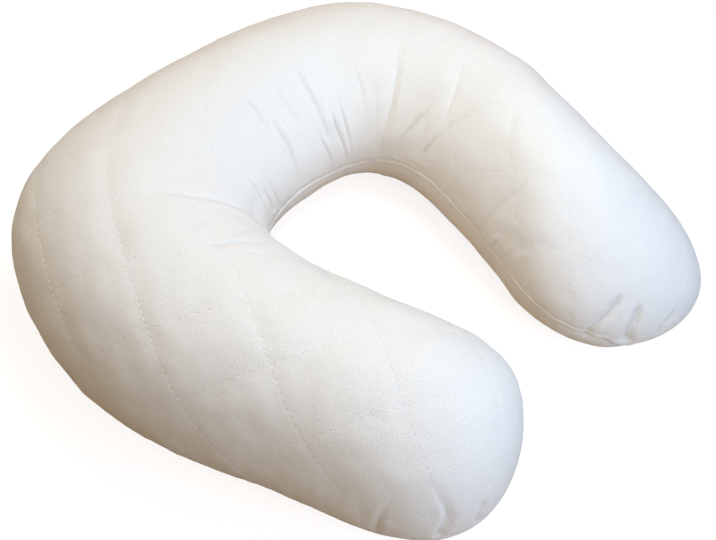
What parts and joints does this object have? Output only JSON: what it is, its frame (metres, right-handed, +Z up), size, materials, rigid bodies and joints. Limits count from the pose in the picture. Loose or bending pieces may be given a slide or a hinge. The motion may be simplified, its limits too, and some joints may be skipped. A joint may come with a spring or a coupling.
{
  "type": "cervical pillow",
  "caption": "U-shaped neck support pillow in white quilted cotton: a tapering filled tube bent round a neck space, sewn from an upper and an under panel along one edge seam.",
  "frame": {"origin": "middle of the pillow's footprint, on the surface it lies on", "axes": "+Z up out of the surface through the crown, +Y towards the closed bend of the U, the arms point towards -Y"},
  "size_m": [0.37, 0.3868, 0.1196],
  "materials": {
    "quilted_cotton": "matt undyed cotton percale, quilted in squares with white thread"
  },
  "bodies": {
    "root": {"quilted_pillow": "quilted_cotton"}
  },
  "joints": []
}
